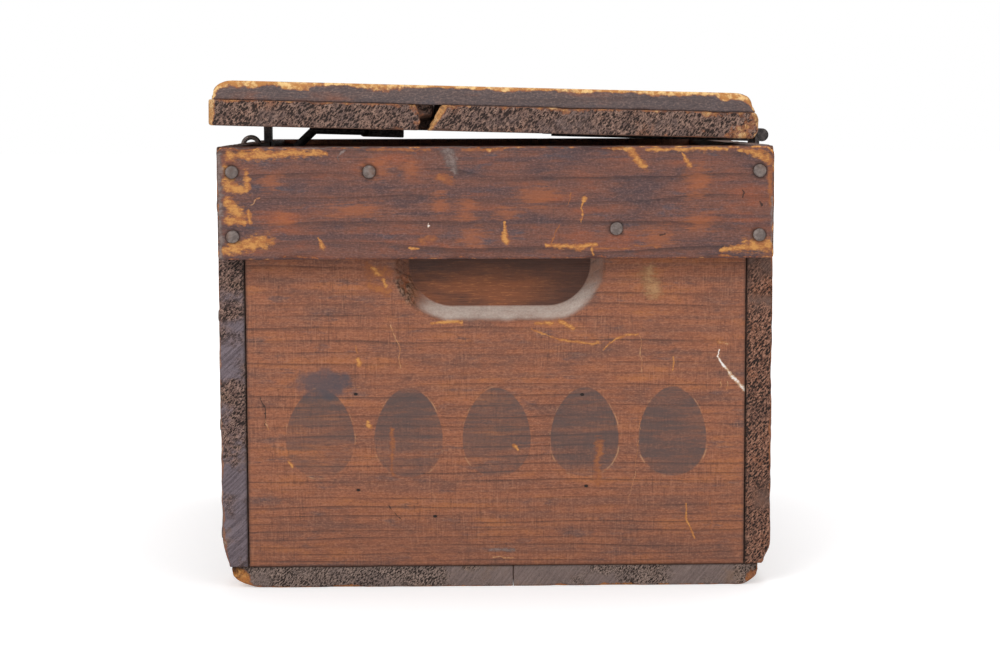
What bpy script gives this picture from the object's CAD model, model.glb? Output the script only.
"""Looks of a nailed wooden egg crate with a hinged lid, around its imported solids.

Sizes are in millimetres until a mesh is made. Every piece is drawn where its solid lies at rest.
"""
import math

import bpy
import numpy as np
from mathutils import Matrix, Vector, noise
from mathutils.geometry import delaunay_2d_cdt


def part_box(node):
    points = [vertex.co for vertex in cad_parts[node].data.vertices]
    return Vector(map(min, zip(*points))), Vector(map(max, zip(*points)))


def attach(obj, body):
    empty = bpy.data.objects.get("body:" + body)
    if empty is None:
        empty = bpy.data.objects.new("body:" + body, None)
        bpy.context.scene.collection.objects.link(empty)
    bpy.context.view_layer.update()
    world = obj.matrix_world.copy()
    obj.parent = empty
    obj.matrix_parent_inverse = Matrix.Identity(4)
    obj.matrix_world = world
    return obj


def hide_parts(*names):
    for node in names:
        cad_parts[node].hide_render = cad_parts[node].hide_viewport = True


MM = 0.001
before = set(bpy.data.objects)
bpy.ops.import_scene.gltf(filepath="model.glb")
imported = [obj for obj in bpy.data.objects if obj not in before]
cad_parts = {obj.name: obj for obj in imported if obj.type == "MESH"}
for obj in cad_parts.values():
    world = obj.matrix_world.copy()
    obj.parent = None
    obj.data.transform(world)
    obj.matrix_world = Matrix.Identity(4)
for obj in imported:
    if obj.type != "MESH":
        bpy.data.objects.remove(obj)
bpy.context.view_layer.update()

# Sizes that the solids share with the lid, which lies tilted on its stop.
AXIS_X, AXIS_Z = 173.2, 276.2
LID_TILT = math.radians(1.57)
LID_LOW, LID_TOP, CLEAT_TOP = 274.5, 290.0, 301.5
LID_LEFT, LID_RIGHT, LID_SEAM, LID_GAP = -171.7, 157.0, -38.0, 0.8
LID_END = 192.0
CLEAT_LEFT, CLEAT_RIGHT = -170.0, 155.0
CLEAT_OUTER, CLEAT_INNER = -190.0, -144.0
CLEAT_END_RUN, CLEAT_END_DROP = 12.0, 9.0

# The scooped hand pocket in an end panel.
GRIP_X, GRIP_Z = 2.5, 199.5
GRIP_HALF, GRIP_R, GRIP_SLOPE, GRIP_DEPTH = 29.0, 35.0, 8.0, 13.0
GRIP_EDGE = 0.9

# Nails, as places in X and Z on the front batten and as a zigzag row on each cleat.
BATTEN_NAILS = [(-158, 256), (-158, 217.5), (158, 256), (158, 217.5), (-76, 256), (72, 221.5)]
CLEAT_NAILS = 6
CLEAT_NAIL_IN = 20.0
CLEAT_NAIL_ASIDE = 9.2

# The photograph's camera.
CAMERA_AT = (-24.8, -1510.9, 291.6)
CAMERA_YAW, CAMERA_PITCH, CAMERA_ROLL = -1.16, 5.76, -0.17
CAMERA_LENS = 79.2


def rgb(red, green, blue):
    """A screen colour as the linear colour that a shader takes."""
    linear = []
    for value in (red, green, blue):
        c = value / 255
        linear.append(c / 12.92 if c <= 0.04045 else ((c + 0.055) / 1.055) ** 2.4)
    return (*linear, 1.0)


def palette(**colours):
    """Named screen colours as linear ones."""
    return {name: rgb(*colour) for name, colour in colours.items()}


class Nodes:
    """A node tree, built from short calls that take numbers or sockets."""

    def __init__(self, tree):
        self.tree = tree
        self.tree.nodes.clear()

    def add(self, kind, inputs=None, **settings):
        node = self.tree.nodes.new(kind)
        for key, value in settings.items():
            setattr(node, key, value)
        for key, value in (inputs or {}).items():
            self.put(node.inputs[key], value)
        return node

    def put(self, socket, value):
        if isinstance(value, bpy.types.NodeSocket):
            self.tree.links.new(value, socket)
        else:
            socket.default_value = value

    def math(self, operation, a, b=0.0, clamp=False):
        return self.add("ShaderNodeMath", {0: a, 1: b}, operation=operation, use_clamp=clamp).outputs[0]


class Graph(Nodes):
    """A material's node tree."""

    def __init__(self, name):
        self.material = bpy.data.materials.new(name)
        self.material.use_nodes = True
        super().__init__(self.material.node_tree)
        self.shader = self.add("ShaderNodeBsdfPrincipled")
        self.add("ShaderNodeOutputMaterial", {"Surface": self.shader.outputs[0]})
        coordinates = self.add("ShaderNodeTexCoord")
        self.point = coordinates.outputs["Object"]
        self.normal = coordinates.outputs["Normal"]
        parts = self.add("ShaderNodeSeparateXYZ", {"Vector": self.point})
        self.x, self.y, self.z = parts.outputs

    def plus(self, a, b):
        return self.math("ADD", a, b)

    def minus(self, a, b):
        return self.math("SUBTRACT", a, b)

    def times(self, a, b):
        return self.math("MULTIPLY", a, b)

    def band(self, value, low, high):
        """Rises smoothly from 0 at low to 1 at high, or falls where low is above high."""
        inputs = {"Value": value, "From Min": low, "From Max": high}
        return self.add("ShaderNodeMapRange", inputs, interpolation_type="SMOOTHSTEP").outputs[0]

    def near(self, value, centre, reach):
        """1 where value is at centre, falling to 0 at a distance of reach."""
        return self.band(self.math("ABSOLUTE", self.minus(value, centre)), reach, 0.0)

    def away(self, x, z, centre, half):
        """Distance from a centre in X and Z, counted in half widths and half heights."""
        side = self.times(self.minus(x, centre[0]), 1.0 / half[0])
        up = self.times(self.minus(z, centre[1]), 1.0 / half[1])
        return self.math("SQRT", self.plus(self.times(side, side), self.times(up, up)))

    def mix(self, share, a, b):
        node = self.add("ShaderNodeMix", data_type="RGBA")
        self.put(node.inputs[0], share)
        self.put(node.inputs[6], a)
        self.put(node.inputs[7], b)
        return node.outputs[2]

    def lay(self, colour, value, low, high, share, paint):
        """Mixes up to a share of paint into a colour, where value goes from low to high."""
        return self.mix(self.times(self.band(value, low, high), share), colour, paint)

    def front(self):
        """X and Z in millimetres."""
        return self.times(self.x, 1 / MM), self.times(self.z, 1 / MM)

    def sway(self, weight, size, seed, detail=3.0, rough=0.55):
        """Noise that goes as far below zero as above it."""
        return self.times(self.minus(self.noise(size, seed, detail, rough), 0.5), weight)

    def noise(self, size, seed=0.0, detail=3.0, rough=0.55, at=None):
        """Noise with features of about size, in millimetres, along X, Y and Z."""
        inputs = {"Vector": self.scaled(size, seed, at), "Scale": 1.0, "Detail": detail, "Roughness": rough}
        return self.add("ShaderNodeTexNoise", inputs).outputs[0]

    def cells(self, size, seed=0.0, at=None):
        """Distance to the nearest of scattered dots, which lie about size apart, in millimetres."""
        inputs = {"Vector": self.scaled(size, seed, at), "Scale": 1.0}
        return self.add("ShaderNodeTexVoronoi", inputs).outputs["Distance"]

    def scaled(self, size, seed, at):
        """A place counted in sizes, in millimetres, and shifted by a seed."""
        sizes = size if isinstance(size, tuple) else (size,) * 3
        shift = (seed, seed * 1.7, seed * 0.6)
        inputs = {0: at or self.point, 1: tuple(1000.0 / s for s in sizes), 2: shift}
        return self.add("ShaderNodeVectorMath", inputs, operation="MULTIPLY_ADD").outputs[0]

    def attribute(self, name):
        return self.add("ShaderNodeAttribute", attribute_name=name).outputs["Fac"]

    def bump(self, height, distance, strength):
        inputs = {"Height": height, "Distance": distance * MM, "Strength": strength}
        return self.add("ShaderNodeBump", inputs).outputs[0]

    def finish(self, colour, roughness, normal):
        self.put(self.shader.inputs["Base Color"], colour)
        self.put(self.shader.inputs["Roughness"], roughness)
        self.put(self.shader.inputs["Normal"], normal)
        self.shader.inputs["Specular IOR Level"].default_value = 0.3
        return self.material


# Tones of the wood: along the grain, and on cut ends

PANEL_TONES = palette(
    light=(156, 97, 69), mid=(130, 78, 56), dark=(58, 39, 36), dull=(108, 74, 63),
    orange=(174, 106, 60), stain=(92, 74, 72), worn=(204, 142, 74), pale=(222, 176, 116),
    frost=(178, 124, 94),
)
BATTEN_TONES = palette(
    light=(124, 79, 63), mid=(98, 64, 56), dark=(46, 34, 35), dull=(78, 59, 60),
    orange=(142, 79, 53), stain=(80, 69, 74), worn=(206, 142, 70), pale=(230, 182, 116),
    frost=(144, 108, 97),
)
CLEAT_TONES = palette(
    light=(103, 85, 81), mid=(84, 70, 69), dark=(46, 36, 37), dull=(82, 72, 73),
    orange=(138, 84, 60), stain=(82, 76, 80), worn=(188, 126, 64), pale=(242, 200, 134),
    frost=(148, 122, 112),
)
BOARD_TONES = palette(
    light=(124, 90, 73), mid=(102, 72, 59), dark=(58, 40, 35), dull=(84, 66, 61),
    orange=(138, 84, 57), stain=(80, 71, 72), worn=(190, 136, 82), pale=(216, 176, 126),
    frost=(146, 116, 102),
)
GREY_SIDE_TONES = {**BOARD_TONES, **palette(worn=(150, 128, 110), pale=(182, 160, 140))}
FLOOR_TONES = {**BOARD_TONES, **palette(worn=(176, 110, 50), pale=(206, 148, 82))}
RED_SIDE_TONES = {**BOARD_TONES, **palette(worn=(140, 88, 58), pale=(176, 122, 80))}

# Cut ends also say how much of them is shut, how large their pores are and which places are rubbed smooth
GREY_ENDS = {
    **palette(
        light=(158, 136, 124), mid=(112, 94, 86), dark=(32, 22, 19), rust=(134, 106, 86),
        smooth=(84, 73, 74), sheen=(116, 102, 103)),
    "shut": 0.4, "pore": 0.9, "rubbed": [],
}
LEFT_ENDS = {
    **GREY_ENDS,
    **palette(
        light=(152, 122, 109), mid=(92, 69, 62), dark=(26, 17, 14), smooth=(90, 79, 84),
        sheen=(126, 113, 119)),
    "rubbed": [((-160, 149), (60, 18)), ((-160, 48), (60, 38))],
}
RED_ENDS = {
    **palette(
        light=(164, 119, 97), mid=(100, 66, 52), dark=(20, 11, 8), rust=(132, 80, 52), smooth=(90, 66, 58),
        sheen=(114, 90, 80)),
    "shut": 0.34, "pore": 0.95, "rubbed": [((160, 192), (60, 18))],
}
LID_ENDS = {
    **palette(
        light=(150, 120, 105), mid=(98, 75, 67), dark=(30, 19, 16), rust=(140, 92, 64), smooth=(84, 70, 69),
        sheen=(110, 96, 94)),
    "shut": 0.34, "pore": 1.0, "rubbed": [],
}
FLOOR_ENDS = {
    **GREY_ENDS, **palette(smooth=(106, 91, 87), sheen=(132, 114, 108)),
    "shut": 0.42, "pore": 0.75, "rubbed": [((20, 6), (44, 30)), ((130, 6), (18, 30))],
}
GRIME = rgb(34, 22, 18)
# A distance that every place is nearer than
FAR_OFF = 9.0


def grain_size(axis, along, across, deep):
    """Noise sizes in X, Y and Z for wood whose grain runs along X or Y."""
    return (along, deep, across) if axis == "X" else (deep, along, across)


def ring_count(g, across, width, spread):
    """Growth rings passed at a place, each of a width that grows by spread for every millimetre."""
    own_width = g.plus(g.times(across, spread / MM), width)
    return g.times(g.math("LOGARITHM", own_width, math.e), 1.0 / spread)


def long_grain(g, axis, rings, tones, seed, lines, mottle):
    """Wood cut along the grain: fibres, blotches, streaks, and rings that darken up to a sharp line.

    lines and mottle weigh the ring lines and the blotches. Returns the colour and the surface height.
    """
    wander = g.noise(grain_size(axis, 150, 30, 60), seed, 2.0)
    step = g.math("FRACT", g.plus(rings, g.times(wander, 1.4)))
    rise = g.times(g.band(step, 0.45, 0.95), g.band(step, 1.0, 0.95))
    streak = g.noise(grain_size(axis, 110, 4, 20), seed + 9.0, 3.0)
    line = g.times(g.times(g.math("POWER", rise, 3.0), g.band(streak, 0.34, 0.64)), lines)
    fibres = g.noise(grain_size(axis, 30, 0.8, 0.8), seed + 1.3, 4.0, 0.75)
    specks = g.noise(grain_size(axis, 3.6, 0.7, 0.7), seed + 2.2, 3.0, 0.7)
    blotch = g.noise(grain_size(axis, 52, 15, 40), seed + 5.7, 5.0, 0.65)
    patch = g.noise(grain_size(axis, 26, 6, 14), seed + 7.7, 5.0, 0.68)
    colour = g.mix(g.band(fibres, 0.3, 0.7), tones["mid"], tones["light"])
    colour = g.lay(colour, blotch, 0.5, 0.7, mottle, tones["orange"])
    colour = g.lay(colour, blotch, 0.52, 0.34, mottle, tones["dull"])
    colour = g.lay(colour, streak, 0.5, 0.34, 0.7 * mottle, tones["dull"])
    colour = g.lay(colour, patch, 0.55, 0.7, 0.9 * mottle, tones["stain"])
    colour = g.lay(colour, specks, 0.52, 0.74, 0.4, tones["frost"])
    colour = g.lay(colour, specks, 0.48, 0.26, 0.45, tones["dark"])
    dust = g.noise(grain_size(axis, 1.5, 0.9, 0.9), seed + 2.6, 2.0, 0.6)
    colour = g.lay(colour, dust, 0.5, 0.74, 0.4, tones["frost"])
    colour = g.lay(colour, dust, 0.5, 0.26, 0.34, tones["dark"])
    colour = g.mix(line, colour, tones["dark"])
    return colour, g.minus(g.plus(g.times(fibres, 0.4), g.times(specks, 0.3)), g.times(line, 0.5))


def end_grain(g, first, second, tones, seed, slant):
    """Wood cut across: pores drawn out along slanted rings, between zones rubbed smooth.

    first and second run across the grain. Returns the colour and the surface height.
    """
    lean, rise = math.cos(slant), math.sin(slant)
    along = g.plus(g.times(first, lean), g.times(second, rise))
    across = g.minus(g.times(second, lean), g.times(first, rise))
    at = g.add("ShaderNodeCombineXYZ", {"X": along, "Y": across}).outputs[0]
    pore = tones["pore"]
    grit = g.noise(0.8, seed + 4.0, 3.0, 0.7)
    ragged = g.times(g.minus(grit, 0.5), 0.4)
    crowd = g.sway(0.5, 7.0, seed + 2.2, 3.0)
    pores = g.plus(g.cells((2.9 * pore, 1.3 * pore, 1.0), seed + 2.0, at), g.plus(ragged, crowd))
    fine_pores = g.plus(g.cells((1.5 * pore, 0.8 * pore, 1.0), seed + 2.5, at), ragged)
    crumbs = g.noise((2.0 * pore, 1.1 * pore, 1.0), seed + 2.8, 3.0, 0.65, at)
    streaks = g.noise((22, 1.3, 1.0), seed + 3.0, 4.0, 0.7, at)
    cloud = g.noise(20.0, seed + 5.0, 4.0, 0.62)
    away = FAR_OFF
    for centre, half in tones["rubbed"]:
        place = g.away(g.times(first, 1 / MM), g.times(second, 1 / MM), centre, half)
        away = g.math("MINIMUM", place, away)
    shut = tones["shut"]
    away = g.plus(away, g.sway(2.2, 15.0, seed + 7.0, 4.0, 0.65))
    rubbed = g.times(g.band(away, 1.4, 0.6), 0.22)
    open_share = g.minus(g.noise((34, 34, 26), seed + 6.0, 4.0, 0.62), rubbed)
    zone = g.band(open_share, shut - 0.11, shut + 0.11)
    dots = g.math("MAXIMUM", g.band(pores, 0.46, 0.34), g.times(g.band(fine_pores, 0.4, 0.29), 0.8))
    pit = g.times(dots, g.plus(g.times(zone, 0.84), 0.16))
    open_wood = g.mix(g.band(crumbs, 0.4, 0.64), tones["mid"], tones["light"])
    open_wood = g.lay(open_wood, cloud, 0.5, 0.32, 0.5, tones["smooth"])
    smooth_wood = g.mix(g.band(streaks, 0.32, 0.7), tones["smooth"], tones["sheen"])
    colour = g.mix(zone, smooth_wood, open_wood)
    colour = g.lay(colour, cloud, 0.54, 0.74, 0.6, tones["rust"])
    colour = g.lay(colour, grit, 0.46, 0.3, 0.35, tones["dark"])
    colour = g.mix(g.times(pit, 0.95), colour, tones["dark"])
    height = g.minus(g.plus(g.times(grit, 0.35), g.times(streaks, 0.25)), g.times(pit, 1.4))
    return colour, height


def wood(name, axis, tones, ends, seed, ring, figure, slant=0.8, layers=None):
    """Old wood whose grain runs along X or Y, with end grain where it is cut across.

    ring is the width of the growth rings and how it spreads, and figure weighs the ring lines, the
    blotches and the saw marks. The mesh attributes tell where an edge is rubbed bare (wear), where
    dirt gathers (grime) and where the hand pocket is (pocket).
    """
    g = Graph(name)
    other, facing = (g.y, 0) if axis == "X" else (g.x, 1)
    normal_parts = g.add("ShaderNodeSeparateXYZ", {"Vector": g.normal}).outputs
    end = g.band(g.math("ABSOLUTE", normal_parts[facing]), 0.55, 0.8)
    end = g.times(end, g.minus(1.0, g.attribute("pocket")))
    lines, mottle, saw = figure
    rings = ring_count(g, g.plus(g.z, g.times(other, 0.55)), *ring)
    colour, height = long_grain(g, axis, rings, tones, seed, lines, mottle)
    marks = g.noise(grain_size(axis, 0.9, 11, 11), seed + 30.0, 2.0, 0.6)
    sawn = g.times(g.band(g.noise(26.0, seed + 31.0, 2.0), 0.36, 0.6), saw)
    colour = g.mix(g.times(g.times(g.band(marks, 0.54, 0.74), 0.36), sawn), colour, tones["frost"])
    colour = g.mix(g.times(g.times(g.band(marks, 0.46, 0.28), 0.38), sawn), colour, tones["dark"])
    height = g.plus(height, g.times(g.times(marks, 0.5), sawn))
    if layers:
        colour, height = layers(g, colour, height)
    cut, cut_height = end_grain(g, other, g.z, ends, seed + 20.0, slant)
    colour = g.mix(end, colour, cut)
    height = g.plus(g.times(height, g.minus(1.0, end)), g.times(cut_height, end))
    rub = g.noise(8.0, seed + 40.0, 4.0, 0.65)
    wear = g.plus(g.attribute("wear"), g.times(g.minus(rub, 0.5), 1.6))
    bare_wood = g.mix(g.band(g.noise(5.0, seed + 41.0, 4.0, 0.7), 0.42, 0.62), tones["worn"], tones["pale"])
    crumbs = g.band(g.noise(1.6, seed + 42.0, 3.0, 0.65), 0.46, 0.36)
    bare_wood = g.mix(g.times(g.times(crumbs, end), 0.65), bare_wood, tones["dark"])
    bare_wood = g.mix(g.band(wear, 0.58, 0.85), tones["orange"], bare_wood)
    colour = g.lay(colour, wear, 0.5, 0.66, 0.9, bare_wood)
    colour = g.mix(g.times(g.attribute("grime"), 0.9), colour, GRIME)
    roughness = g.plus(g.times(rub, 0.25), g.plus(g.times(end, 0.2), 0.45))
    return g.finish(colour, roughness, g.bump(height, 0.55, 0.8))


# Marks on the front, by tone: strokes as X and Z of both ends, the half width at both, and a strength

GOLD, OCHRE, RUSSET, GLOW = rgb(208, 148, 78), rgb(164, 100, 52), rgb(134, 78, 50), rgb(164, 94, 54)
PALE, WHITE, SCRAPED, DULL = rgb(190, 152, 114), rgb(238, 232, 228), rgb(134, 118, 112), rgb(94, 80, 76)
HOLE, CRACK, UMBER, KHAKI = rgb(30, 19, 16), rgb(62, 40, 32), rgb(132, 96, 64), rgb(178, 142, 98)
# Each tone's colour at its edge, its colour at its middle and how well it covers
MARK_TONES = {
    "dark": (CRACK, HOLE, 0.9), "orange": (RUSSET, OCHRE, 0.75), "gold": (OCHRE, GOLD, 0.86),
    "grey": (DULL, SCRAPED, 0.8), "khaki": (UMBER, KHAKI, 0.6), "pale": (OCHRE, PALE, 0.8),
    "white": (PALE, WHITE, 0.96),
}
BATTEN_MARKS = {
    "gold": [
        (-159, 266, -140, 266.5, 5, 5.4, 0.75), (-140, 266.5, -118, 267, 5, 4.2, 0.75),
        (-118, 267, -103, 267.5, 3.8, 2.6, 0.75), (-161, 258, -160, 248, 4, 5.2, 0.8),
        (-160, 247, -149, 245.5, 5.2, 4, 0.8), (-150, 256, -149, 247, 3.2, 4, 0.75),
        (-160, 238, -154, 231, 5.2, 5.8, 0.8), (-161, 228, -151, 226.5, 4.2, 3.6, 0.8),
        (-148, 233, -147, 226, 2.2, 2.4, 0.75), (-163, 209, -138, 214.5, 4.6, 6.6, 0.8),
        (-158, 211, -142, 215, 5, 6, 0.8), (-106, 216, -104, 211, 1, 3.2, 0.85),
        (-52.6, 210.5, -47.8, 210.5, 1.2, 1.2, 0.8), (70, 269.5, 78, 269, 1.8, 2.4, 0.75),
        (79, 270, 84, 264, 3.4, 3.6, 0.9), (84, 264, 88.5, 259, 3.4, 2.8, 0.9),
        (91, 269, 112, 269, 2.2, 2.6, 0.75), (112, 269.5, 137, 269.5, 3, 2.6, 0.75),
        (111.5, 266.5, 115.5, 259.5, 0.6, 2.8, 0.9), (146, 268, 158, 266, 2.4, 4.2, 0.7),
        (158, 266, 163, 263, 5.2, 4.2, 0.75), (4.5, 226, 6, 214, 0.9, 3.4, 0.85),
        (29, 212, 40, 211, 1.4, 2, 0.85), (40, 211, 50, 210, 2, 2.9, 0.85),
        (50, 210.5, 60, 212, 2.7, 1.6, 0.85), (58, 209, 59, 205, 1.4, 1, 0.7),
        (134, 208.5, 148, 209.5, 1.8, 4.6, 0.75), (150, 211, 163, 211, 5.6, 7.4, 0.75),
        (53, 239.5, 52.4, 235, 2, 1.1, 0.9), (52.4, 235, 50, 226, 0.6, 0.4, 0.8),
    ],
    "grey": [
        (-165.5, 266, -165.5, 206, 3.4, 3.2, 0.75), (-29, 269, -27, 262, 6.6, 6.2, 0.8),
        (-27, 262, -24.5, 255.5, 5.4, 2.4, 0.8), (-95, 263.5, -91, 269, 0.6, 1.4, 0.7),
        (165.5, 240, 165.5, 214, 2, 2, 0.6), (-160, 270.5, 10, 270.5, 1, 0.9, 0.6),
        (10, 270.5, 160, 270.5, 0.9, 1, 0.55),
    ],
    "orange": [
        (-45, 215, -38, 216, 3.4, 3.4, 0.75), (-34, 252.5, -28, 251, 4.2, 3.8, 0.8),
        (-77, 269, -40, 269.3, 1.3, 1.5, 0.75), (-20, 269, 4, 269, 1.9, 1.5, 0.8),
        (164, 258, 164.5, 236, 2.4, 2.6, 0.75), (37.6, 223.7, 32.3, 212.8, 0.6, 0.6, 0.9),
        (60, 209.5, 80, 210, 0.9, 1, 0.8), (83, 211.5, 98, 211, 0.9, 1.1, 0.8),
        (45, 243, 42, 235.5, 0.5, 0.5, 0.8),
    ],
    "white": [
        (-40.6, 225, -40.6, 222.5, 0.5, 0.5, 0.6),
    ],
    "pale": [
        (-147, 236.3, -142, 241, 0.5, 0.6, 0.7),
    ],
    "dark": [
        (98, 217.5, 101, 218.5, 0.6, 0.7, 0.9), (147.6, 244, 148, 240, 0.7, 0.7, 0.9),
        (158.5, 237, 159, 235.5, 0.9, 0.9, 0.9),
    ],
}
# Warm spots on the front batten, by centre and half size
BATTEN_GLOWS = [
    ((-134, 249.6), (8, 5)), ((-86, 233), (19, 6)), ((-34, 237), (6, 7)), ((-18, 232.5), (7, 7)),
    ((-52, 258), (6, 6)), ((-14, 216), (9, 6)), ((-72, 258), (9, 7)), ((25, 241), (14, 6)),
    ((5, 231), (9, 4)), ((98, 217), (10, 6)), ((122, 225), (11, 6)), ((121, 250), (8, 11)),
    ((-128, 228), (8, 5)),
]
PANEL_MARKS = {
    "white": [
        (136, 146.3, 134.3, 143, 0.6, 0.5, 1), (134.3, 143, 142.5, 132, 0.5, 1, 1),
        (142.5, 132, 153.3, 120, 1.5, 1.2, 1),
    ],
    "pale": [
        (136, 151, 141, 150, 1.4, 0.8, 0.8), (87.5, 155, 89, 133, 0.6, 0.5, 0.6),
        (-86.3, 150, -85.5, 146, 1.4, 1.2, 0.6), (-67, 167, -60, 150, 0.5, 0.5, 0.65),
        (-60, 150, -58, 136, 0.5, 0.4, 0.6), (-141.5, 105, -139, 98, 0.6, 0.8, 0.6),
        (-2, 18, 9, 18.6, 0.8, 0.7, 0.7), (-90, 124, -82, 124, 0.5, 0.5, 0.4),
        (137, 127, 136.5, 123, 0.5, 0.5, 0.7), (140.8, 127, 140.6, 122, 0.6, 0.5, 0.7),
        (89, 104, 82, 52, 0.35, 0.35, 0.5),
    ],
    "gold": [
        (-40, 163.6, -21, 163.7, 1.2, 1.8, 0.8), (24, 163.2, 34, 163.2, 1.4, 1.8, 0.8),
        (39, 164.5, 46, 160, 2, 2.4, 0.8), (22, 159, 40, 152.6, 1.2, 1.4, 0.7),
        (40, 152.6, 64, 150, 1.4, 1.6, 0.7), (66, 146, 72, 154, 0.8, 1.4, 0.7),
        (72, 154, 87, 156, 1.4, 0.8, 0.65), (-79, 103, -78, 100, 1.6, 2.4, 0.85),
        (11, 88, 13, 85, 2, 1.4, 0.85), (-75, 197, -71, 193, 2.2, 1.8, 0.8),
        (-69, 190, -67, 186, 2, 1.6, 0.8), (-85.5, 142, -84, 138.5, 2, 2.4, 0.85),
        (116.6, 51, 118, 40, 0.6, 0.9, 0.9), (118, 40, 122, 29, 0.9, 0.6, 0.9),
        (108, 142, 108, 134, 1, 0.8, 0.8), (-127, 78, -125, 75, 1.2, 1.6, 0.7),
    ],
    "khaki": [
        (93, 193, 96, 182, 8.5, 7.5, 0.85),
    ],
    "orange": [
        (-77, 196, -66, 194, 5.5, 5, 0.95), (-75, 186, -66, 182, 4.6, 4, 0.9),
        (132, 54, 131, 36, 0.5, 0.5, 0.7), (63, 88, 62, 64, 7, 5, 0.6), (-64, 98, -64, 70, 3, 2.4, 0.6),
    ],
    "dark": [
        (-143.6, 118, -140.6, 100, 0.6, 0.5, 0.75), (-66.5, 51, -60, 42.5, 0.7, 0.4, 0.6),
    ],
    "grey": [
        (-4, 23, 9, 23, 3, 3, 0.5),
    ],
}
PANEL_HOLES = [(-86, 120), (-85, 60.6), (52.5, 119), (55, 62.3), (-38, 44)]
HOLE_HALF = (1.5, 1.0)
DIRTY_FOOT, FOOT_DIRT = (74.0, 24.0), rgb(76, 54, 49)
EGGS, EGG_PITCH, EGG_Z = 5, 54, 96
EGG_HALF = (21.0, 28.0)
EGG_TAPER = 0.16
INK, INK_STAIN = rgb(76, 66, 65), rgb(70, 67, 74)
INK_SPILL = ((-105, 126), (19, 11))


def stroke(g, x, z, ends, width, tip):
    """How far inside a straight stroke a place lies: 1 on its middle line, 0 at its edge, less outside."""
    start = Vector(ends[:2])
    run = Vector(ends[2:]) - start
    length = run.length
    way = run / length
    dx, dz = g.minus(x, start.x), g.minus(z, start.y)
    on = g.plus(g.times(dx, way.x), g.times(dz, way.y))
    off = g.minus(g.times(dz, way.x), g.times(dx, way.y))
    share = g.math("DIVIDE", on, length, True)
    past = g.minus(on, g.times(share, length))
    away = g.math("SQRT", g.plus(g.times(off, off), g.times(past, past)))
    return g.minus(1.0, g.math("DIVIDE", away, g.plus(g.times(share, tip - width), width)))


def draw_marks(g, colour, marks, shown, seed):
    """Mixes strokes into a face's colour, tone by tone, with ragged edges."""
    ragged = g.sway(2.4, (4.5, 4.5, 2.0), seed, 5.0, 0.7)
    fine = g.sway(2.4, (1.8, 1.8, 0.9), seed + 3.0, 3.0, 0.65)
    shade = g.sway(3.0, 6.0, seed + 5.0, 4.0, 0.65)
    shift = g.sway(7.0, 9.0, seed + 1.0, 3.0)
    x, z = g.front()
    x, z = g.plus(x, shift), g.plus(z, g.times(shift, -0.6))
    for tone, (fringe, core, opacity) in MARK_TONES.items():
        cover = -FAR_OFF
        for *ends, width, tip, strength in marks.get(tone, []):
            inside = g.plus(stroke(g, x, z, ends, width, tip), strength - 1.0)
            cover = g.math("MAXIMUM", inside, cover)
        cover = g.plus(cover, ragged)
        paint = g.mix(g.band(g.plus(cover, g.plus(fine, shade)), 0.0, 1.2), fringe, core)
        colour = g.mix(g.times(g.band(cover, -0.1, 0.5), g.times(shown, opacity)), colour, paint)
    return colour


def batten_marks(g, colour, height):
    """Warm spots, rubbed stretches, nicks and a scrape on the front batten."""
    x, z = g.front()
    haze = g.sway(4.4, (12, 12, 1.7), 65.0, 5.0, 0.75)
    away = FAR_OFF
    for centre, half in BATTEN_GLOWS:
        away = g.math("MINIMUM", g.away(x, z, centre, half), away)
    warm = g.times(g.band(g.plus(away, haze), 1.3, 0.2), 0.5)
    colour = g.mix(warm, colour, GLOW)
    return draw_marks(g, colour, BATTEN_MARKS, 1.0, 61.0), height


def stencil(g, colour, x, z, front):
    """A row of plain stencilled eggs, worn along the grain, with a spill of ink over the first."""
    bend = g.minus(g.noise(7.0, 51.0, 3.0), 0.5)
    fade = g.band(g.noise((44, 44, 5), 52.0, 5.0, 0.7), 0.36, 0.6)
    foot = g.band(g.plus(z, g.times(x, 0.12)), 62.0, 110.0)
    ink = g.times(g.plus(g.times(fade, 0.42), g.plus(g.times(foot, 0.34), 0.06)), front)
    edge = g.times(g.times(g.band(g.noise(11.0, 57.0, 4.0, 0.6), 0.5, 0.64), 0.5), front)
    up = g.times(g.minus(z, EGG_Z), 1.0 / EGG_HALF[1])
    for i in range(EGGS):
        middle = EGG_PITCH * (i - (EGGS - 1) / 2)
        taper = g.plus(g.times(up, -EGG_TAPER), 1.0)
        side = g.math("DIVIDE", g.times(g.minus(x, middle), 1.0 / EGG_HALF[0]), taper)
        away = g.math("SQRT", g.plus(g.times(up, up), g.times(side, side)))
        away = g.plus(away, g.times(bend, 0.04))
        colour = g.lay(colour, away, 1.0, 0.965, ink, INK)
        colour = g.mix(g.times(g.near(away, 1.01, 0.025), edge), colour, PALE)
    spread = g.plus(g.away(x, z, *INK_SPILL), g.times(bend, 1.5))
    return g.mix(g.times(g.band(spread, 1.15, 0.45), g.times(front, 0.75)), colour, INK_STAIN)


# The pocket floor's warm middle, by centre and half size, and its dark right-hand and upper parts
POCKET_GLOW = ((-6, 185), (40, 13))
POCKET_DARK_X, POCKET_DARK_Z = (4.0, 46.0), (184.0, 198.0)
POCKET = palette(
    dark=(74, 45, 35), light=(116, 72, 53), warm=(158, 92, 53), fleck=(186, 120, 72), shade=(58, 38, 32),
    dust=(206, 191, 180), crumb=(46, 30, 23), torn=(140, 108, 88))


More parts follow.
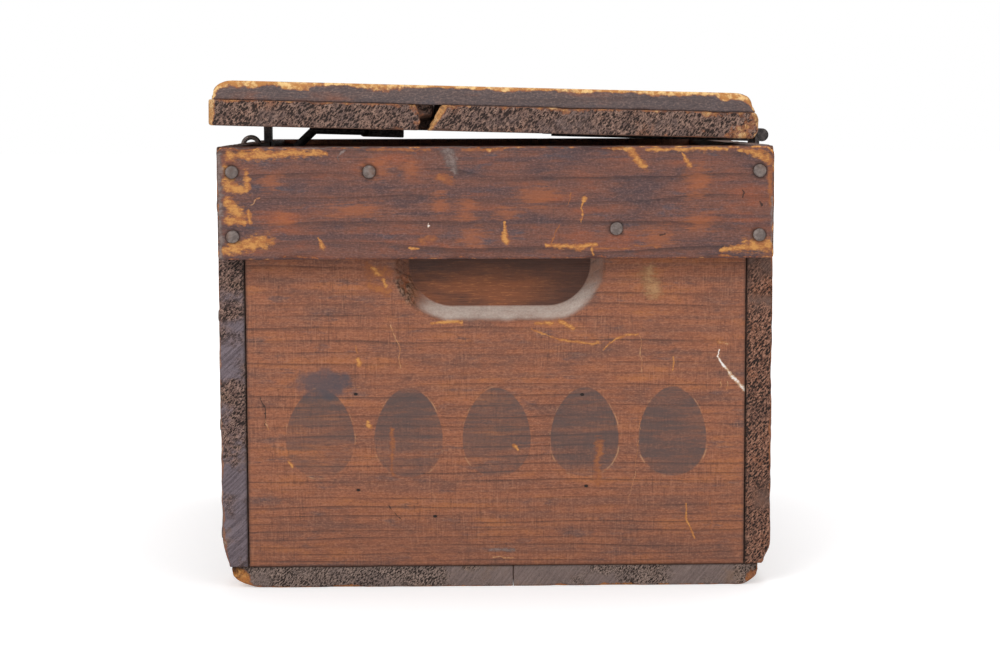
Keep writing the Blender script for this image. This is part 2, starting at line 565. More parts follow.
def pocket_wood(g, colour, height):
    """The scooped pocket: a streaky floor, a dusty wall and a torn left end."""
    x, z = g.front()
    streak = g.noise((26, 26, 0.8), 56.0, 5.0, 0.7)
    patchy = g.sway(3.0, (26, 26, 7), 58.0, 5.0, 0.65)
    floor = g.mix(g.band(streak, 0.3, 0.72), POCKET["dark"], POCKET["light"])
    away = g.away(x, z, *POCKET_GLOW)
    glow = g.band(g.plus(away, patchy), 1.4, 0.2)
    floor = g.mix(g.times(glow, 0.5), floor, POCKET["warm"])
    flecks = g.band(g.noise((5, 5, 0.5), 57.0, 3.0, 0.6), 0.54, 0.7)
    floor = g.mix(g.times(flecks, g.plus(g.times(glow, 0.55), 0.15)), floor, POCKET["fleck"])
    shade = g.times(g.band(z, *POCKET_DARK_Z), 0.6)
    shade = g.math("MAXIMUM", g.times(g.band(x, *POCKET_DARK_X), 0.45), shade)
    floor = g.mix(shade, floor, POCKET["shade"])
    colour = g.mix(g.attribute("scoop"), colour, floor)
    gritty = g.times(g.noise(1.6, 55.0, 4.0, 0.7), 1.1)
    gritty = g.minus(g.plus(gritty, g.times(g.noise(11.0, 54.0, 4.0, 0.6), 0.8)), 0.1)
    colour = g.mix(g.math("MULTIPLY", g.attribute("dust"), gritty, True), colour, POCKET["dust"])
    crumbs = g.noise(1.8, 59.0, 3.0, 0.65)
    torn_wood = g.mix(g.band(crumbs, 0.4, 0.58), POCKET["crumb"], POCKET["torn"])
    colour = g.mix(g.times(g.attribute("torn"), 0.92), colour, torn_wood)
    return colour, g.plus(height, g.times(g.times(crumbs, 2.0), g.attribute("torn")))


def front_panel_marks(g, colour, height):
    """Stencil, scratches, holes and the hand pocket on the front panel."""
    front = g.band(g.y, -0.15, -0.16)
    x, z = g.front()
    colour = g.mix(g.times(g.times(g.band(z, *DIRTY_FOOT), front), 0.14), colour, FOOT_DIRT)
    colour = stencil(g, colour, x, z, front)
    colour = draw_marks(g, colour, PANEL_MARKS, front, 63.0)
    for hole in PANEL_HOLES:
        pit = g.times(g.band(g.away(x, z, hole, HOLE_HALF), 1.0, 0.6), front)
        colour = g.mix(pit, colour, HOLE)
        height = g.minus(height, g.times(pit, 2.0))
    return pocket_wood(g, colour, height)


# Iron

def iron(name, base, shine, rust, seed):
    """Old iron with a dull skin, pits and thin rust."""
    g = Graph(name)
    skin = g.noise(3.0, seed, 4.0, 0.65)
    blotch = g.noise(11.0, seed + 3.0, 4.0, 0.6)
    pits = g.noise(0.9, seed + 5.0, 2.0, 0.6)
    colour = g.mix(g.band(skin, 0.35, 0.7), base, shine)
    colour = g.lay(colour, blotch, 0.5, 0.72, 0.5, rust)
    g.shader.inputs["Metallic"].default_value = 0.4
    roughness = g.plus(g.times(blotch, 0.35), 0.38)
    return g.finish(colour, roughness, g.bump(g.plus(skin, pits), 0.25, 0.7))


# Width and spread of the growth rings, and the figure
PANEL_CUT = (6.0, 0.02), (0.62, 0.72, 1.0)
BATTEN_CUT = (13.0, 0.01), (0.6, 1.0, 0.3)
CLEAT_CUT = (9.0, 0.01), (0.3, 0.7, 0.2)
BOARD_CUT = (14.0, 0.01), (0.5, 0.8, 0.4)
WOODS = {
    "front_panel": ("X", PANEL_TONES, GREY_ENDS, 1.0, *PANEL_CUT, 0.8, front_panel_marks),
    "rear_panel": ("X", PANEL_TONES, GREY_ENDS, 11.0, *PANEL_CUT, 0.8, pocket_wood),
    "batten": ("X", BATTEN_TONES, GREY_ENDS, 23.0, *BATTEN_CUT, 0.8, batten_marks),
    "rear_batten": ("X", BATTEN_TONES, GREY_ENDS, 31.0, *BATTEN_CUT),
    "cleat": ("X", CLEAT_TONES, GREY_ENDS, 37.0, *CLEAT_CUT),
    "left_side": ("Y", GREY_SIDE_TONES, LEFT_ENDS, 43.0, *BOARD_CUT, 0.75),
    "right_side": ("Y", RED_SIDE_TONES, RED_ENDS, 45.0, *BOARD_CUT, 0.9),
    "floor": ("Y", FLOOR_TONES, FLOOR_ENDS, 47.0, *BOARD_CUT, 0.9),
    "lid": ("Y", BOARD_TONES, LID_ENDS, 53.0, *BOARD_CUT, 0.85),
}
MATERIALS = {
    **{name: wood(name + "_wood", *settings) for name, settings in WOODS.items()},
    "nail": iron("nail_iron", rgb(98, 87, 83), rgb(132, 120, 114), rgb(112, 78, 60), 3.0),
    "iron": iron("black_iron", rgb(52, 48, 48), rgb(88, 82, 80), rgb(84, 56, 45), 7.0),
}


# Boards

def ticks(low, high, step, edge=5.0, fine=1.0):
    """Places from low to high, fine near both ends and about a step apart between."""
    if high - low <= 2 * edge + step:
        return np.linspace(low, high, max(4, round((high - low) / fine)) + 1)
    count = max(2, round((high - low - 2 * edge) / step))
    middle = np.linspace(low + edge, high - edge, count + 1)
    rows = round(edge / fine)
    start = np.linspace(low, low + edge, rows + 1)[:-1]
    stop = np.linspace(high - edge, high, rows + 1)[1:]
    return np.concatenate([start, middle, stop])


def shell(axes, skip=None):
    """The six sides of a grid of places in X, Y and Z, as points and four-sided faces.

    skip may name one side to leave out, as its axis and whether it is the high one.
    """
    counts = [len(a) for a in axes]
    index, points, faces = {}, [], []

    def point(key):
        if key not in index:
            index[key] = len(points)
            points.append([axes[i][key[i]] for i in range(3)])
        return index[key]

    for axis in range(3):
        u, v = (axis + 1) % 3, (axis + 2) % 3
        for high in (False, True):
            if skip == (axis, high):
                continue
            for i in range(counts[u] - 1):
                for j in range(counts[v] - 1):
                    corners = []
                    for a, b in ((i, j), (i + 1, j), (i + 1, j + 1), (i, j + 1)):
                        key = [0, 0, 0]
                        key[axis], key[u], key[v] = (counts[axis] - 1) * high, a, b
                        corners.append(point(tuple(key)))
                    faces.append(corners if high else corners[::-1])
    return np.array(points), faces


def noise_at(points, size, seed):
    """Noise with features of about size, for each point."""
    shift = Vector((seed * 13.1, seed * 7.3, seed * 3.7))
    return np.array([noise.noise(Vector(p) / size + shift) for p in points])


def smooth(value, low, high):
    t = np.clip((value - low) / (high - low), 0.0, 1.0)
    return t * t * (3 - 2 * t)


def rub_edges(points, low, high, round_sides, worn_sides, radius, reach, seed):
    """Rounds a box's edges unevenly and tells how worn each point is.

    round_sides and worn_sides weigh X-, Y-, Z-, X+, Y+ and Z+. An edge takes the product of its two
    sides. reach is how far wear goes in from an edge.
    """
    low, high = np.array(low), np.array(high)
    away = np.concatenate([points - low, high - points], axis=1)
    order = np.argsort(away, axis=1)
    first, second = order[:, 0], order[:, 1]
    edge = np.take_along_axis(away, order[:, 1:2], axis=1)[:, 0]
    slow, quick = noise_at(points, 24.0, seed), noise_at(points, 6.0, seed + 1)
    chip = smooth(noise_at(points, 17.0, seed + 2), 0.22, 0.5)
    rounding = np.array(round_sides)
    r = radius * rounding[first] * rounding[second] * (0.75 + 0.6 * slow + 0.35 * quick + 1.6 * chip)
    r = np.clip(r, 0.35, 0.42 * (high - low).min())[:, None]
    core = np.clip(points, low + r, high - r)
    out = points - core
    length = np.maximum(np.linalg.norm(out, axis=1, keepdims=True), 1e-9)
    rubbing = np.array(worn_sides)
    wear = np.minimum(rubbing[first] * rubbing[second], 1.0)
    wear = wear * (1 - smooth(edge, 0.0, reach * (1.0 + 0.9 * slow + 1.2 * chip)))
    return core + out * r / length, wear


def mesh_object(name, points, faces, attributes, material):
    mesh = bpy.data.meshes.new(name)
    mesh.from_pydata((points * MM).tolist(), [], faces)
    for key, values in attributes.items():
        layer = mesh.attributes.new(key, "FLOAT", "POINT")
        layer.data.foreach_set("value", np.asarray(values, np.float32))
    mesh.polygons.foreach_set("use_smooth", [True] * len(mesh.polygons))
    mesh.materials.append(material)
    obj = bpy.data.objects.new(name, mesh)
    bpy.context.scene.collection.objects.link(obj)
    return obj


def settle(obj, node, body):
    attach(obj, body)
    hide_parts(node)


class Board:
    """A worn board in place of a solid: its box, and how its edges are rounded and rubbed."""

    def __init__(self, node, body, slot, material, low, high, steps):
        self.node, self.body, self.slot = node, body, slot
        self.material = MATERIALS[material]
        self.low, self.high = low, high
        self.surface = None
        self.axes = [ticks(low[i], high[i], steps[i]) for i in range(3)]

    def make(self, round_sides, worn_sides, radius, reach, seed, shape=None, place=None):
        """shape may move the points and add attributes, and place moves the whole board."""
        flat, faces = self.surface or shell(self.axes)
        points, wear = rub_edges(flat, self.low, self.high, round_sides, worn_sides, radius, reach, seed)
        attributes = {"wear": wear, "grime": np.zeros(len(points))}
        if shape:
            points = shape(flat, points, attributes)
        if place is not None:
            points = points @ np.array(place.to_3x3()).T + np.array(place.translation)
        obj = mesh_object(self.node + "_worn", points, faces, attributes, self.material)
        settle(obj, self.node, self.body)


# How near a face its points lie
ON_FACE = 1e-6


def node_box(node):
    low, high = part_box(node)
    return [c / MM for c in low], [c / MM for c in high]


def on_face(values, place):
    return np.abs(values - place) < ON_FACE


def off_side(flat, low, high, left):
    """Distance in X from a board's left or right side."""
    return flat[:, 0] - low[0] if left else high[0] - flat[:, 0]


def off_ends(flat, low, high, axis):
    """Distance from the nearer end of a board along an axis."""
    return np.minimum(flat[:, axis] - low[axis], high[axis] - flat[:, axis])


def mirrored(sides, left):
    """Weights of a left-hand board's sides, with X- and X+ swapped for a right-hand one."""
    return sides if left else [sides[i] for i in (3, 1, 2, 0, 4, 5)]


def nail_dints(points, attributes, face, across, places, inward):
    """Sinks a face round its nails and darkens a thin ring there.

    across gives each point's two coordinates on the face, and inward is added where it is sunk.
    """
    for place in places:
        away = np.hypot(across[0] - place[0], across[1] - place[1])
        sunk = np.where(face, smooth(away, 8.0, 3.5), 0)
        points += np.outer(0.7 * sunk, inward)
        ring = np.where(face, 0.8 * smooth(away, 5.2, 4.4), 0)
        attributes["grime"] = np.maximum(attributes["grime"], ring)


# End panels with their hand pockets

# Rows of points round the pocket, by how far outside its edge they lie
POCKET_LOOPS = (3.5, 1.6, 0.7, 0, -0.8, -2, -3.5, -5, -6.5, -7.4, -8, -8.6, -10, -14, -20, -28)
ARC_POINTS, RUN_POINTS = 60, 30
TORN_X, TORN_Z, TORN_STEP = (-67.0, -46.0), (166.0, 206.0), 0.9
# Where the torn end and the part without dust begin and are full, in X and Z
TORN_IN, TORN_FOOT, TORN_HEAD = (-46.0, -54.0), (166.0, 174.0), (186.0, 196.0)
BARE_IN, BARE_FOOT = (-36.0, -48.0), (168.0, 177.0)


def pocket_loop(reach):
    """Places all round the pocket at a distance from its middle line."""
    turn = np.linspace(-0.5, 0.5, ARC_POINTS) * math.pi
    run = np.linspace(GRIP_HALF, -GRIP_HALF, RUN_POINTS)[1:-1]
    right = np.stack([GRIP_HALF + reach * np.cos(turn), reach * np.sin(turn)], axis=1)
    top = np.stack([run, np.full(len(run), reach)], axis=1)
    return np.concatenate([right, top, -right, -top]) + np.array([GRIP_X, GRIP_Z])


def pocket_reach(x, z):
    """Distance from the pocket's middle line."""
    return np.hypot(np.maximum(np.abs(x - GRIP_X) - GRIP_HALF, 0.0), z - GRIP_Z)


def pocket_depth(reach):
    """How deep the pocket is there, with its outer edge rounded off."""
    run = GRIP_R - reach
    eased = 0.5 * (run + np.sqrt(run ** 2 + GRIP_EDGE ** 2))
    return np.minimum(GRIP_DEPTH * eased / GRIP_SLOPE, GRIP_DEPTH)


def pocket_face(x_axis, z_axis):
    """The pocket's side of a panel, as places and triangles whose edges follow the pocket's outline."""
    places, edges = [], []
    for offset in POCKET_LOOPS:
        loop = pocket_loop(GRIP_R + offset)
        start = len(places)
        places.extend(loop)
        edges.extend((start + i, start + (i + 1) % len(loop)) for i in range(len(loop)))
    grid = np.array([(x, z) for x in x_axis for z in z_axis])
    places.extend(grid[pocket_reach(grid[:, 0], grid[:, 1]) > GRIP_R + 5])
    places.extend((x, z) for x in np.arange(*TORN_X, TORN_STEP) for z in np.arange(*TORN_Z, TORN_STEP))
    result = delaunay_2d_cdt([Vector(p) for p in places], edges, [], 0, 1e-4)
    return result[0], result[2]


def panel_surface(board, turned):
    """All sides of an end panel, with the pocket's side cut to the pocket's outline."""
    sign = -1.0 if turned else 1.0
    outer = board.high[1] if turned else board.low[1]
    flat, faces = shell(board.axes, (1, turned))
    points = [tuple(p) for p in flat]
    index = {tuple(np.round(p, 2)): i for i, p in enumerate(points)}
    places, triangles = pocket_face(board.axes[0], board.axes[2])
    numbers = []
    for x, z in places:
        key = tuple(np.round((sign * x, outer, z), 2))
        if key not in index:
            index[key] = len(points)
            points.append((sign * x, outer, z))
        numbers.append(index[key])
    faces.extend([numbers[i] for i in triangle] for triangle in triangles)
    return np.array(points), faces


def end_panel(node, turned, material, seed):
    """An end panel whose outer face is scooped out for the fingers."""
    low, high = node_box(node)
    panel = Board(node, "crate", "panel_wood", material, low, high, (6.0, 5.0, 6.0))
    panel.surface = panel_surface(panel, turned)
    sign = -1.0 if turned else 1.0
    outer = high[1] if turned else low[1]
    foot = GRIP_R - GRIP_SLOPE

    def shape(flat, points, attributes):
        face = on_face(flat[:, 1], outer)
        x, z = sign * flat[:, 0], flat[:, 2]
        reach = pocket_reach(x, z)
        wall = smooth(reach, GRIP_R + 3.0, GRIP_R + 0.5) * smooth(reach, foot - 1.0, foot + 1.0)
        torn = wall * smooth(x, *TORN_IN) * smooth(z, *TORN_FOOT) * (1 - 0.8 * smooth(z, *TORN_HEAD))
        rough = noise_at(flat, 2.4, seed + 4) + 0.8 * noise_at(flat, 6.0, seed + 5)
        depth = pocket_depth(reach + 1.8 * torn * rough)
        points[:, 1] += sign * np.where(face, depth, 0.0)
        lip = reach + 0.9 * noise_at(flat, 9.0, seed + 6)
        bevel = smooth(lip, GRIP_R + 0.5, GRIP_R - 2.8) * smooth(reach, foot - 0.3, foot + 0.3)
        settled = 0.3 + 0.7 * smooth(GRIP_Z - z, 4.0, 24.0)
        bare = 0.85 * smooth(x, *BARE_IN) * smooth(z, *BARE_FOOT)
        attributes["dust"] = np.where(face, bevel * (1 - torn) * (1 - bare) * settled, 0)
        attributes["scoop"] = np.where(face, smooth(reach, foot + 0.3, foot - 0.3), 0)
        attributes["pocket"] = np.where(face, smooth(reach, GRIP_R + 3.0, GRIP_R + 1.5), 0)
        attributes["torn"] = np.where(face, torn * smooth(rough, -0.5, 0.1), 0)
        seam = off_ends(flat, low, high, 0)
        bottom = flat[:, 2] - low[2]
        attributes["grime"] = np.where(face, 0.8 * (1 - smooth(np.minimum(seam, bottom), 0.2, 1.6)), 0)
        return points

    panel.make([0.25, 0.5, 0.25, 0.25, 0.5, 0.4], [0, 0.3, 0, 0, 0.3, 0.3], 2.5, 3.0, seed, shape)


end_panel("front_end_panel", False, "front_panel", 2)
end_panel("rear_end_panel", True, "rear_panel", 4)


# Battens, side boards and floor

SCRAPE = ((-28, 271), (9.0, 17.0))
BATTEN_CORNERS = (3.5, 6.0)


def round_corner(across, up, radius):
    """Pulls a square corner in to an arc. across and up are distances from its two sides."""
    side, top = np.maximum(radius - across, 0.0), np.maximum(radius - up, 0.0)
    long = np.maximum(np.hypot(side, top), 1e-9)
    pull = 1 - np.maximum(side, top) / long
    return side * pull, top * pull


def batten(node, turned, material, seed):
    """A lifting batten, dinted round its nails. The front one is scraped at the top."""
    low, high = node_box(node)
    board = Board(node, "crate", "batten_wood", material, low, high, (2.5, 3.0, 2.0))
    sign = -1.0 if turned else 1.0

    def shape(flat, points, attributes):
        outer = on_face(flat[:, 1], high[1] if turned else low[1])
        across = (sign * flat[:, 0], flat[:, 2])
        nail_dints(points, attributes, outer, across, BATTEN_NAILS, (0, sign, 0))
        for way, radius in zip((1, -1), BATTEN_CORNERS):
            across = way * flat[:, 0] - min(way * low[0], way * high[0])
            inward, down = round_corner(across, high[2] - flat[:, 2], radius)
            points[:, 0] += way * inward
            points[:, 2] -= down
        dip = np.maximum(noise_at(flat, 40.0, seed + 6), 0) * 0.5
        if not turned:
            (middle_x, middle_z), (half_x, half_z) = SCRAPE
            away = np.hypot((flat[:, 0] - middle_x) / half_x, (flat[:, 2] - middle_z) / half_z)
            dip = dip + 1.2 * smooth(away, 1.0, 0.3)
        points[:, 1] += sign * np.where(outer, dip, 0)
        return points

    back = 0.3
    round_sides = [1, back, 0.9, 1, 1, 1] if turned else [1, 1, 0.9, 1, back, 1]
    worn_sides = [0.8, back, 0.7, 0.8, 0.8, 0.78] if turned else [0.8, 0.8, 0.7, 0.8, back, 0.78]
    board.make(round_sides, worn_sides, 2.6, 3.0, seed, shape)


batten("front_batten", False, "batten", 6)
batten("rear_batten", True, "rear_batten", 8)


def side_board(node, left, material, seed):
    """A side board, whose outer face is worn into shallow waves."""
    low, high = node_box(node)
    board = Board(node, "crate", "board_wood", material, low, high, (1.4, 9.0, 2.4))
    sign = 1.0 if left else -1.0

    def shape(flat, points, attributes):
        outer = off_side(flat, low, high, left)
        long = flat * np.array([1, 0.2, 1])
        slow, quick = noise_at(long, 26.0, seed + 3), noise_at(long, 8.0, seed + 4)
        wave = np.maximum(slow, 0.0) + np.maximum(quick, 0.0)
        foot = 4.0 * smooth(flat[:, 2], 31.0, low[2]) ** 2
        points[:, 0] += sign * (0.6 * wave + foot) * smooth(outer, 14.0, 0.0)
        inner = off_side(flat, low, high, not left)
        ends = off_ends(flat, low, high, 1) < ON_FACE
        attributes["grime"] = np.where(ends, 0.9 * (1 - smooth(inner, 0.2, 1.4)), 0)
        return points

    round_sides = mirrored([1, 0.9, 0.5, 0.3, 0.9, 0.9], left)
    worn_sides = [0.9, 0.75, 0.6, 0, 0.75, 0.8] if left else [0, 0.8, 0.8, 0.9, 0.75, 0.8]
    board.make(round_sides, worn_sides, 1.8, 2.4, seed, shape)


side_board("left_side_board", True, "left_side", 10)
side_board("right_side_board", False, "right_side", 12)


# How far a bottom board's corner is worn in and up, and how torn it is
LEFT_CORNER, RIGHT_CORNER = (24.0, 11.0, 1.0), (17.0, 9.0, 0.6)
CORNER_STEP = 1.6


def floor_board(node, left, seed):
    """A bottom board whose lower outer edge is worn round."""
    low, high = node_box(node)
    board = Board(node, "crate", "board_wood", "floor", low, high, (2.5, 9.0, 1.2))
    worn, rise, torn = LEFT_CORNER if left else RIGHT_CORNER
    sign = 1.0 if left else -1.0

    def shape(flat, points, attributes):
        edge = off_side(flat, low, high, left)
        rough = noise_at(flat, 14.0, seed + 5)
        reach = worn * (1 + 0.25 * rough)
        inset = np.clip(1 - edge / reach, 0.0, 1.0)
        lift = rise * (1 - np.sqrt(np.maximum(1 - inset ** 2, 0.0)))
        depth = (high[2] - flat[:, 2]) / (high[2] - low[2])
        points[:, 2] += lift * depth
        points[:, 0] += sign * CORNER_STEP * smooth(edge, worn, 0.0)
        front = flat[:, 1] - low[1]
        patchy = 0.45 + 0.55 * smooth(front, 50.0, 0.0) + 0.8 * noise_at(flat, 34.0, seed + 6)
        corner = torn * smooth(inset * (0.35 + 0.65 * depth), 0.1, 0.5) * np.clip(patchy, 0.0, 1.0)
        attributes["wear"] = np.maximum(attributes["wear"], corner)
        splinter = noise_at(flat * np.array([1, 1, 0.5]), 2.6, seed + 7)
        hollow = torn * smooth(edge, 15.0, 5.0) * smooth(front, 8.0, 0.0)
        points[:, 1] += hollow * (2.0 + 3.0 * splinter) * smooth(depth, 1.0, 0.6)
        top = high[2] - flat[:, 2]
        ends = off_ends(flat, low, high, 1) < ON_FACE
        seam = np.where(ends, 0.8 * (1 - smooth(top, 0.2, 1.2)), 0)
        shade = hollow * smooth(depth + 0.5 * splinter, 0.6, 0.1)
        attributes["grime"] = np.maximum(seam, 0.85 * shade)
        return points

    round_sides = mirrored([1, 1, 0.5, 0.2, 1, 0.3], left)
    worn_sides = mirrored([1, 0.85, 0.85, 0, 0.85, 0], left)
    board.make(round_sides, worn_sides, 1.6, 1.8, seed, shape)


floor_board("left_bottom_board", True, 14)
floor_board("right_bottom_board", False, 16)


# The lid's pieces are drawn flat and then turned about the hinge axis onto the stop

AXIS = Matrix.Translation((AXIS_X, 0, AXIS_Z))
LID_PLACE = AXIS @ Matrix.Rotation(LID_TILT, 4, "Y") @ AXIS.inverted()

# The break at the front: how deep its fine points go and their rows, then its reach, depth and ledge
SPLIT_DEPTH, SPLIT_ROWS = 30.0, 25
SPLIT_REACH, SPLIT_DEEP, SPLIT_LEDGE = 26.0, 13.0, 10.0


def lid_board(node, left, seed):
    """A lid board. The two are broken apart where the seam comes out at the front."""
    low = [LID_LEFT if left else LID_SEAM + LID_GAP / 2, -LID_END, LID_LOW]
    high = [LID_SEAM - LID_GAP / 2 if left else LID_RIGHT, LID_END, LID_TOP]
    board = Board(node, "lid", "board_wood", "lid", low, high, (2.5, 9.0, 1.2))
    broken = np.linspace(-LID_END, SPLIT_DEPTH - LID_END, SPLIT_ROWS)
    board.axes[1] = np.concatenate([broken[:-1], ticks(SPLIT_DEPTH - LID_END, LID_END, 9.0)])
    sign = -1.0 if left else 1.0
    seam = high[0] if left else low[0]

    def shape(flat, points, attributes):
        front = flat[:, 1] + LID_END
        share = (flat[:, 2] - LID_LOW) / (LID_TOP - LID_LOW)
        rough = noise_at(flat, 5.0, seed + 3)
        gone = 7.6 + 2.0 * share if left else 9.5 * share - 4.0
        ledge = SPLIT_LEDGE * smooth(share, 0.35, 0.6) if left else 0.0
        deep = SPLIT_DEEP - ledge + 4.0 * noise_at(flat, 5.0, seed + 6)
        notch = (gone + 2.4 * rough) * (1 - smooth(front - deep, 0.0, 9.0))
        away = np.abs(flat[:, 0] - seam)
        points[:, 0] += sign * notch * smooth(away, SPLIT_REACH, 0.0)
        split = smooth(away + 2.0 * rough, 11.0 if left else 8.0, 1.0) * (1 - smooth(front, 3.0, 12.0))
        attributes["wear"] = np.maximum(attributes["wear"], (0.5 if left else 1.0) * split)
        dark = 0.85 - 0.75 * smooth(share + 0.4 * rough, 0.4, 0.7) if left else 0.9
        attributes["grime"] = dark * smooth(away, 1.5, 0.5) * smooth(front, 3.0, 10.0)
        end = off_side(flat, low, high, left)
        patchy = np.clip(0.5 + 0.5 * smooth(front, 40.0, 0.0) + noise_at(flat, 38.0, seed + 7), 0.3, 1.0)
        if left:
            rubbed = 1.2 * smooth(end, 7.5, 0.5) * patchy
        else:
            rubbed = (0.62 + 0.24 * noise_at(flat, 7.0, seed + 8)) * smooth(end, 46.0, 4.0)
            blunt = 2.2 * smooth(share, 0.35, 0.0) + 1.4 * smooth(share, 0.7, 1.0)
            points[:, 0] -= blunt * smooth(end, 12.0, 0.0)
        attributes["wear"] = np.maximum(attributes["wear"], rubbed)
        return points

    round_sides = mirrored([1, 1, 1, 0.4, 1, 1], left)
    worn_sides = mirrored([2.6 if left else 1.6, 0.7, 0.5, 0, 0.7, 0.9], left)
    board.make(round_sides, worn_sides, 1.8, 5.0, seed, shape, LID_PLACE)


lid_board("left_lid_board", True, 18)
lid_board("right_lid_board", False, 20)


def cleat_nail_places():
    """The front cleat's nails in X and Y."""
    span = CLEAT_RIGHT - CLEAT_LEFT - 2 * CLEAT_NAIL_IN
    middle = (CLEAT_OUTER + CLEAT_INNER) / 2
    places = []
    for i in range(CLEAT_NAILS):
        aside = CLEAT_NAIL_ASIDE if i % 2 == 0 else -CLEAT_NAIL_ASIDE
        places.append((CLEAT_LEFT + CLEAT_NAIL_IN + span * i / (CLEAT_NAILS - 1), middle + aside))
    return places


def cleat(node, rear, seed):
    """A cleat across the lid, with rounded ends and a rubbed top edge."""
    low = [CLEAT_LEFT, -CLEAT_INNER if rear else CLEAT_OUTER, LID_TOP]
    high = [CLEAT_RIGHT, -CLEAT_OUTER if rear else CLEAT_INNER, CLEAT_TOP]
    board = Board(node, "lid", "batten_wood", "cleat", low, high, (2.5, 3.0, 1.2))
    sign = -1.0 if rear else 1.0

    def shape(flat, points, attributes):
        top = on_face(flat[:, 2], CLEAT_TOP)
        across = (flat[:, 0], sign * flat[:, 1])
        nail_dints(points, attributes, top, across, cleat_nail_places(), (0, 0, -1))
        ends = off_ends(flat, low, high, 0)
        inset = np.clip(1 - ends / CLEAT_END_RUN, 0.0, 1.0)
        drop = CLEAT_END_DROP * (1 - np.sqrt(np.maximum(1 - inset ** 2, 0.0)))
        share = (flat[:, 2] - low[2]) / (high[2] - low[2])
        points[:, 2] -= drop * share
        attributes["wear"] = np.maximum(attributes["wear"], 0.75 * smooth(inset * share, 0.0, 0.7))
        return points

    board.make([1, 1, 0.3, 1, 1, 1], [1, 1, 0, 1, 0.95, 1], 2.2, 6.6, seed, shape, LID_PLACE)


cleat("front_lid_cleat", False, 22)
cleat("rear_lid_cleat", True, 24)


# Nails and iron

NAIL_PROFILE = [(0.0, 0.75), (1.2, 0.8), (2.4, 0.7), (3.3, 0.5), (3.8, 0.2), (3.9, 0.0), (1.5, 0.0)]
NAIL_SIDES = 20


def nail_heads(node, body, places, axis, length, seed):
    """Hammered nail heads with their shanks. axis points out of the wood."""
    turn = Vector(axis).to_track_quat("Z", "Y").to_matrix()
    profile = NAIL_PROFILE + [(1.5, 3.0 - length), (0.4, -length)]
    points, faces = [], []
    for number, place in enumerate(places):
        start = len(points)
        for row, (radius, height) in enumerate(profile):
            for i in range(NAIL_SIDES):
                angle = math.tau * i / NAIL_SIDES
                way = Vector((math.cos(angle), math.sin(angle), 0))
                dent = noise.noise(way * 0.9 + Vector((seed, number * 3.3, row * 0.15)))
                r = radius * (1 + 0.06 * dent) if 0 < row < 6 else radius
                lift = 0.14 * dent if row < 5 else 0.0
                points.append(Vector(place) + turn @ Vector((way.x * r, way.y * r, height + lift)))
        for row in range(len(profile) - 1):
            for i in range(NAIL_SIDES):
                j = (i + 1) % NAIL_SIDES
                a, b = start + row * NAIL_SIDES, start + (row + 1) * NAIL_SIDES
                faces.append([a + i, b + i, b + j, a + j])
        faces.append([start + (len(profile) - 1) * NAIL_SIDES + i for i in reversed(range(NAIL_SIDES))])
    obj = mesh_object(node + "_hammered", np.array([list(p) for p in points]), faces, {}, MATERIALS["nail"])
    settle(obj, node, body)


BATTEN_FACE, BATTEN_NAIL_LENGTH, CLEAT_NAIL_LENGTH, CLEAT_NAIL_SINK = 193.0, 36, 23, 0.7
for sign, node in ((-1, "front_batten_nails"), (1, "rear_batten_nails")):
    heads = [(-sign * x, sign * BATTEN_FACE, z) for x, z in BATTEN_NAILS]
    nail_heads(node, "crate", heads, (0, sign, 0), BATTEN_NAIL_LENGTH, 2 + sign)
for sign, node in ((1, "front_cleat_nails"), (-1, "rear_cleat_nails")):
    heads = [LID_PLACE @ Vector((x, sign * y, CLEAT_TOP - CLEAT_NAIL_SINK)) for x, y in cleat_nail_places()]
    nail_heads(node, "lid", heads, LID_PLACE.to_3x3() @ Vector((0, 0, 1)), CLEAT_NAIL_LENGTH, 5 + sign)

BLACK_IRON = [
    "front_hinge_leaf", "rear_hinge_leaf", "front_hinge_pin", "rear_hinge_pin", "hinge_leaf_screws",
    "lid_stop", "lid_stop_screws", "front_hinge_strap", "rear_hinge_strap", "hinge_strap_screws",
    "hasp_keeper", "hasp_keeper_screws", "hasp_wire",
]
NAIL_IRON = ["left_side_nails", "right_side_nails", "floor_nails", "catch_eye"]
for nodes, finish in ((BLACK_IRON, "iron"), (NAIL_IRON, "nail")):
    for node in nodes:
        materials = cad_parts[node].data.materials
        materials.clear()
        materials.append(MATERIALS[finish])


# Stage

PURE_WHITE, WARM_WHITE, PALE_GREY = (1, 1, 1, 1), (1.0, 0.99, 0.98, 1), (0.78, 0.78, 0.79, 1)
FLOOR_HALF, FLOOR_GLOW, WORLD_STRENGTH = 14.0, 0.41, 0.54
# Each lamp's place, target, size and power
LAMPS = {
    "key": ((-1.3, -2.2, 1.9), (0, 0, 0.12), 1.4, 29),
    "low": ((-0.7, -2.6, 0.42), (0, 0, 0.25), 0.8, 5),
    "fill": ((1.6, -2.0, 1.1), (0, 0, 0.15), 1.6, 13),
    "top": ((0.2, 0.4, 2.4), (0, 0, 0.2), 1.6, 20),
}


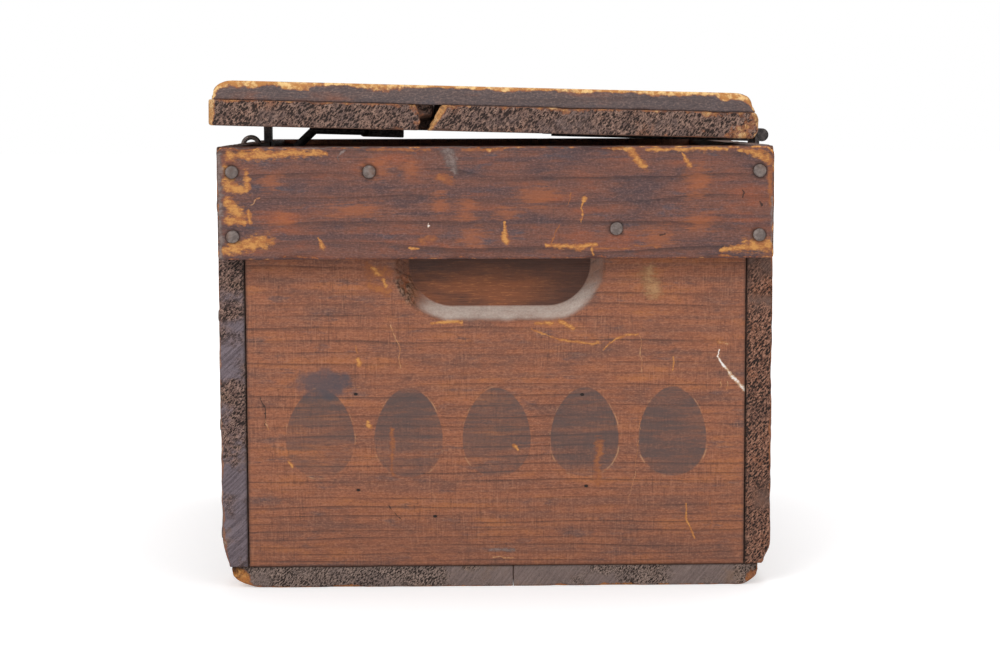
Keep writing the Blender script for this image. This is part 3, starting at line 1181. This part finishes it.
def pale_material(name, colour, glow):
    """A pale surface that keeps shadows and shows white to the camera and in reflections.

    It glows by itself, more so far from the middle, where the lamps don't reach.
    """
    g = Graph(name)
    path = g.add("ShaderNodeLightPath").outputs
    mirrored = g.math("MAXIMUM", path["Is Glossy Ray"], path["Is Transmission Ray"])
    seen = g.math("MAXIMUM", path["Is Camera Ray"], mirrored)
    g.shader.inputs["Base Color"].default_value = colour
    g.shader.inputs["Roughness"].default_value = 0.9
    g.shader.inputs["Specular IOR Level"].default_value = 0.0
    g.shader.inputs["Emission Color"].default_value = PURE_WHITE
    far = g.band(g.add("ShaderNodeVectorMath", {0: g.point}, operation="LENGTH").outputs["Value"], 0.5, 3.0)
    g.put(g.shader.inputs["Emission Strength"], g.times(seen, g.plus(g.times(far, 1.0 - glow), glow)))
    return g.material


def stage_floor():
    mesh = bpy.data.meshes.new("floor")
    corners = [(FLOOR_HALF * x, FLOOR_HALF * y, 0) for x, y in ((-1, -1), (1, -1), (1, 1), (-1, 1))]
    mesh.from_pydata(corners, [], [(0, 1, 2, 3)])
    mesh.materials.append(pale_material("floor_pale", PALE_GREY, FLOOR_GLOW))
    floor = bpy.data.objects.new("floor", mesh)
    bpy.context.scene.collection.objects.link(floor)


def world_light(strength):
    """Even light from all round, which shows white to the camera and through clear things."""
    world = bpy.data.worlds.new("studio")
    bpy.context.scene.world = world
    world.use_nodes = True
    nodes = Nodes(world.node_tree)
    path = nodes.add("ShaderNodeLightPath").outputs
    seen = nodes.math("MAXIMUM", path["Is Camera Ray"], path["Is Transmission Ray"])
    light = nodes.add("ShaderNodeBackground", {"Color": WARM_WHITE, "Strength": strength}).outputs[0]
    white = nodes.add("ShaderNodeBackground", {"Color": PURE_WHITE, "Strength": 1.0}).outputs[0]
    mixed = nodes.add("ShaderNodeMixShader", {0: seen, 1: light, 2: white}).outputs[0]
    nodes.add("ShaderNodeOutputWorld", {"Surface": mixed})


def softbox(name, place, target, size, power):
    lamp = bpy.data.lights.new(name, "AREA")
    lamp.shape = "DISK"
    lamp.size = size
    lamp.energy = power
    obj = bpy.data.objects.new(name, lamp)
    obj.location = place
    obj.rotation_euler = (Vector(target) - Vector(place)).to_track_quat("-Z", "Y").to_euler()
    bpy.context.scene.collection.objects.link(obj)


def photograph_camera():
    data = bpy.data.cameras.new("camera")
    data.sensor_fit = "HORIZONTAL"
    data.sensor_width = 36.0
    data.lens = CAMERA_LENS
    data.clip_end = 100.0
    camera = bpy.data.objects.new("camera", data)
    yaw = Matrix.Rotation(math.radians(CAMERA_YAW), 4, "Z")
    pitch = Matrix.Rotation(math.radians(90 - CAMERA_PITCH), 4, "X")
    roll = Matrix.Rotation(math.radians(CAMERA_ROLL), 4, "Z")
    camera.matrix_world = Matrix.Translation(Vector(CAMERA_AT) * MM) @ yaw @ pitch @ roll
    bpy.context.scene.collection.objects.link(camera)
    bpy.context.scene.camera = camera


stage_floor()
world_light(WORLD_STRENGTH)
for name, settings in LAMPS.items():
    softbox(name, *settings)
photograph_camera()
bpy.context.scene.view_settings.view_transform = "Standard"
